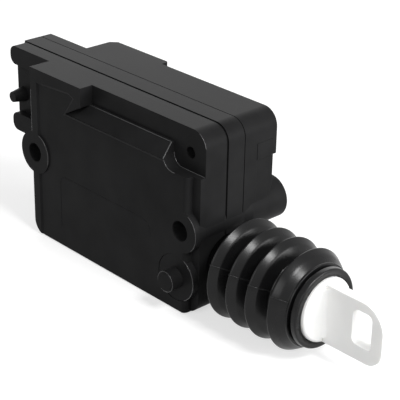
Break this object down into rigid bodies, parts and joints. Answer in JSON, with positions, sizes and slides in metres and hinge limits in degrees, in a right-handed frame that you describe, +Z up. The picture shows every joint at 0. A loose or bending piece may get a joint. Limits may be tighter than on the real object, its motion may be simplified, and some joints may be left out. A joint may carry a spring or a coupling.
{
  "type": "door latch actuator",
  "caption": "Motor-driven actuator for a vehicle door latch: flat moulded case with plug socket and fixing holes, and a pull rod that slides out through a folded rubber bellows to an eye.",
  "frame": {"origin": "centre of the fixing hole beside the pull rod, at the front end of its boss", "axes": "+X along the pull rod, out of the case; +Y from the front to the back along the fixing holes; +Z up, from the rod's side to the side with the plug socket"},
  "size_m": [0.1375, 0.0367, 0.05],
  "materials": {
    "case_plastic": "fine satin",
    "rod_plastic": "satin",
    "boot_rubber": "satin",
    "bush_plastic": "satin",
    "gear_plastic": "satin",
    "zinc_steel": "satin",
    "dark_steel": "satin",
    "magnet": "matte",
    "brass": "satin",
    "cap_plastic": "satin",
    "stop_rubber": "matte"
  },
  "bodies": {
    "housing": {"front_cover": "case_plastic", "centre_housing": "case_plastic", "rear_cover": "case_plastic", "rod_guide": "bush_plastic", "bellows": "boot_rubber", "outer_stop": "stop_rubber", "inner_stop": "stop_rubber", "gear_axle": "zinc_steel", "carrier_plate": "zinc_steel", "motor_can": "zinc_steel", "motor_end_cap": "cap_plastic", "magnet_left": "magnet", "magnet_right": "magnet", "motor_pad": "stop_rubber", "upper_terminal": "brass", "lower_terminal": "brass", "motor_tab_left": "brass", "motor_tab_right": "brass"},
    "rod": {"pull_rod": "rod_plastic"},
    "gear": {"reduction_gear": "gear_plastic"},
    "rotor": {"motor_shaft": "dark_steel", "motor_pinion": "brass", "armature": "dark_steel", "commutator": "brass"}
  },
  "joints": [
    {"name": "pull_rod_slide", "type": "slide", "parent": "housing", "child": "rod", "axis": [1, 0, 0], "range_m": [-0.011, 0.005], "deforming": ["bellows"]},
    {"name": "reduction_gear_spin", "type": "hinge", "parent": "housing", "child": "gear", "pos_m": [-0.031, 0.0141, -0.0111], "axis": [0, 0, 1], "range_deg": [-135, 62]},
    {"name": "motor_spin", "type": "hinge", "parent": "housing", "child": "rotor", "pos_m": [-0.0445, 0.0141, 0.0069], "axis": [0, 0, 1], "range_deg": [-214, 465]}
  ],
  "couplings": [
    {"joint": "reduction_gear_spin", "follows": "pull_rod_slide", "rad_per_m": 208.33},
    {"joint": "motor_spin", "follows": "pull_rod_slide", "rad_per_m": -729.17}
  ]
}
